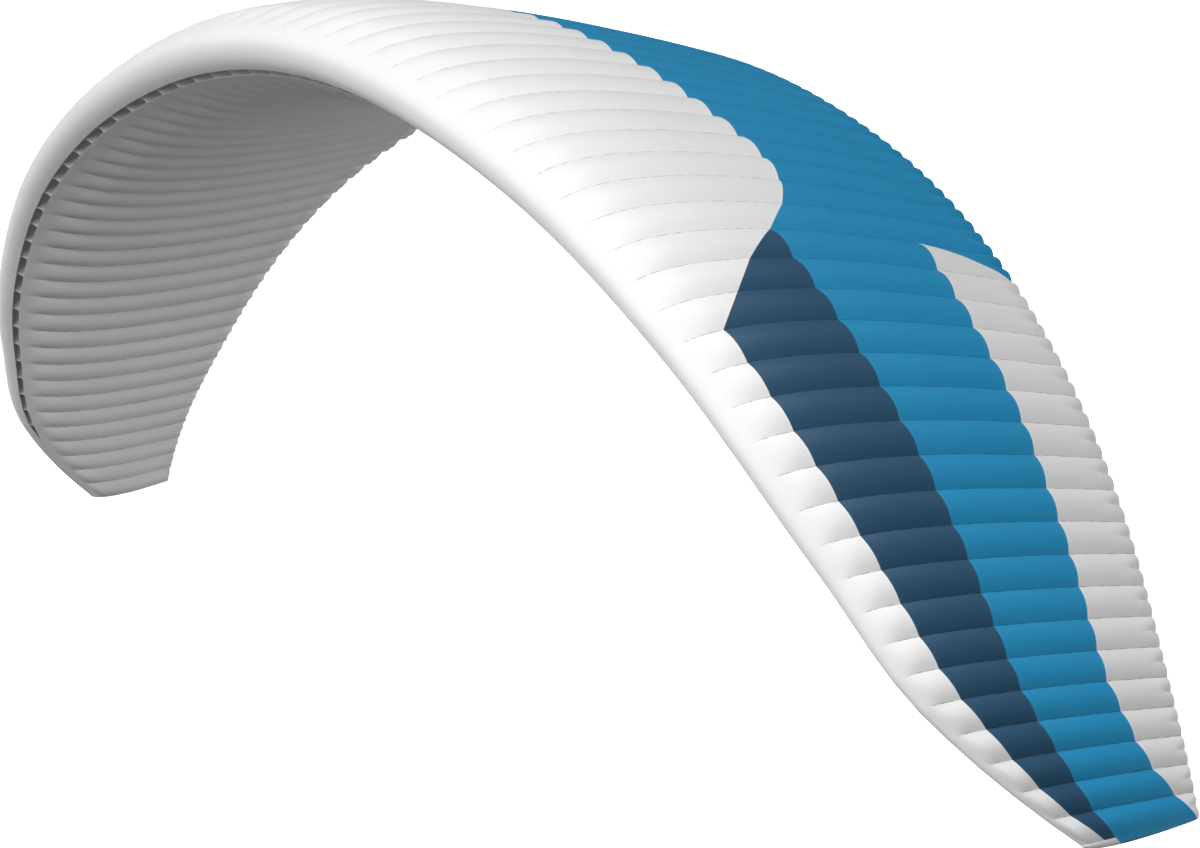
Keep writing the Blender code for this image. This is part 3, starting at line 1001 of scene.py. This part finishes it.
def rib_edge(index, girth, sizes):
    """The edge of a rib inside the sails, in the rib's own plane. The cloth needs more room where it
    slants away towards the next rib. At the mouth the edge is free and hollowed."""
    depth = sizes.tail_depth
    here = outline(index, girth, depth)
    along = outline(index, girth + GIRTH_STEP, depth) - outline(index, girth - GIRTH_STEP, depth)
    top, bottom, rear, front = outline(index, np.array((0.5, -0.5, 1.0, 0.0)), depth)
    plane = np.cross(top - bottom, rear - front)
    plane /= length(plane)
    inward = np.cross(plane, along)
    inward /= length(inward)
    slope = np.zeros_like(girth)
    for place in (max(index - 1, -1 / sizes.steps), min(index + 1, CELLS + 1 / sizes.steps)):
        step = skin(np.full(len(girth), place), girth, sizes) + ORIGIN - here
        slope = np.maximum(slope, np.abs(dot(step, inward)[:, 0] / (step @ plane)))
    inset = sizes.cloth / 2 * (np.hypot(1, slope) + slope) + sizes.rib_gap
    if from_tip(index) >= MOUTH_FROM_RIB:
        mouth = (MOUTH_FRONT, MOUTH_BEND, MOUTH_REAR)
        hollow = np.interp(girth * girth, mouth, (0.0, sizes.notch, 0.0))
        inset = inset + np.where(girth < 0, hollow, 0.0)
    return here + inward * inset[:, None] - ORIGIN


class WING_OT_stage(bpy.types.Operator):
    """Set the floor, the light and the camera"""

    bl_idname = "wing.stage"
    bl_label = "Stage"

    def execute(self, context):
        scene = context.scene
        room = bmesh.new()
        bmesh.ops.create_cube(room, size=ROOM_SIZE)
        bmesh.ops.translate(room, verts=room.verts, vec=(0.0, 0.0, ROOM_SIZE / 2 - FLOOR_DEPTH))
        bmesh.ops.reverse_faces(room, faces=room.faces)
        data = bpy.data.meshes.new("floor and walls")
        room.to_mesh(data)
        room.free()
        floor = bpy.data.objects.new("floor and walls", data)
        scene.collection.objects.link(floor)
        material = bpy.data.materials.new("white floor")
        tree = Tree(material)
        shader = tree.nodes["Principled BSDF"]
        tree.set(shader, "base_color", FLOOR_COLOUR)
        tree.set(shader, "roughness", FLOOR_ROUGHNESS)
        tree.set(shader, "emission_color", WHITE)
        tree.set(shader, "emission_strength", 1.0)
        data.materials.append(material)
        floor.visible_diffuse = False
        floor.visible_glossy = False
        floor.visible_shadow = False
        for name, place, energy in LAMPS:
            data = bpy.data.lights.new(name, "SUN")
            data.energy = energy
            data.angle = LAMP_WIDTH
            lamp = bpy.data.objects.new(name, data)
            lamp.rotation_euler = Vector(place).to_track_quat("Z", "Y").to_euler()
            scene.collection.objects.link(lamp)
        self.light_sky(scene)
        self.aim_camera(scene)
        scene.view_settings.view_transform = "Standard"
        return {"FINISHED"}

    def light_sky(self, scene):
        """A dim even sky."""
        world = bpy.data.worlds.new("studio")
        scene.world = world
        tree = Tree(world)
        tree.set(tree.nodes["Background"], "strength", SKY_LEVEL)
        tree.set(tree.nodes["Background"], "color", WHITE)

    def aim_camera(self, scene):
        """The camera, where the photo was taken from."""
        data = bpy.data.cameras.new("camera")
        data.sensor_width = FILM_WIDTH
        data.lens = LENS
        data.clip_end = FAR_LIMIT
        camera = bpy.data.objects.new("camera", data)
        aim = Vector((
            math.sin(CAMERA_YAW) * math.cos(CAMERA_DIP), math.cos(CAMERA_YAW) * math.cos(CAMERA_DIP),
            -math.sin(CAMERA_DIP),
        ))
        right = aim.cross(Vector((0.0, 0.0, 1.0))).normalized()
        up = right.cross(aim)
        tilted = right * math.cos(CAMERA_ROLL) + up * math.sin(CAMERA_ROLL)
        raised = up * math.cos(CAMERA_ROLL) - right * math.sin(CAMERA_ROLL)
        turn = Matrix((tilted, raised, -aim)).transposed()
        camera.matrix_world = Matrix.Translation(CAMERA_PLACE) @ turn.to_4x4()
        scene.collection.objects.link(camera)
        scene.camera = camera


class WING_PT_panel(bpy.types.Panel):
    """Sidebar panel of the wing"""

    bl_idname = "WING_PT_panel"
    bl_label = "Paraglider wing"
    bl_space_type = "VIEW_3D"
    bl_region_type = "UI"
    bl_category = "Wing"

    def draw(self, context):
        layout = self.layout
        for group in (context.scene.wing_sizes, context.scene.wing_looks):
            box = layout.box()
            for name in group.bl_rna.properties.keys():
                if name not in ("rna_type", "name"):
                    box.prop(group, name)
        for operator in OPERATORS:
            layout.operator(operator.bl_idname)


OPERATORS = (
    WING_OT_nose, WING_OT_centre, WING_OT_navy, WING_OT_trailing, WING_OT_lower, WING_OT_ribs,
    WING_OT_stage,
)
CLASSES = (WingSizes, WingLooks, *OPERATORS, WING_PT_panel)


def register():
    for cls in CLASSES:
        bpy.utils.register_class(cls)
    bpy.types.Scene.wing_sizes = PointerProperty(type=WingSizes)
    bpy.types.Scene.wing_looks = PointerProperty(type=WingLooks)


def unregister():
    del bpy.types.Scene.wing_looks
    del bpy.types.Scene.wing_sizes
    for cls in reversed(CLASSES):
        bpy.utils.unregister_class(cls)


def main():
    """Builds every piece and the stage."""
    register()
    bpy.ops.wing.nose()
    bpy.ops.wing.centre()
    bpy.ops.wing.navy()
    bpy.ops.wing.trailing()
    bpy.ops.wing.lower()
    bpy.ops.wing.ribs()
    bpy.ops.wing.stage()


if __name__ == "__main__":
    main()
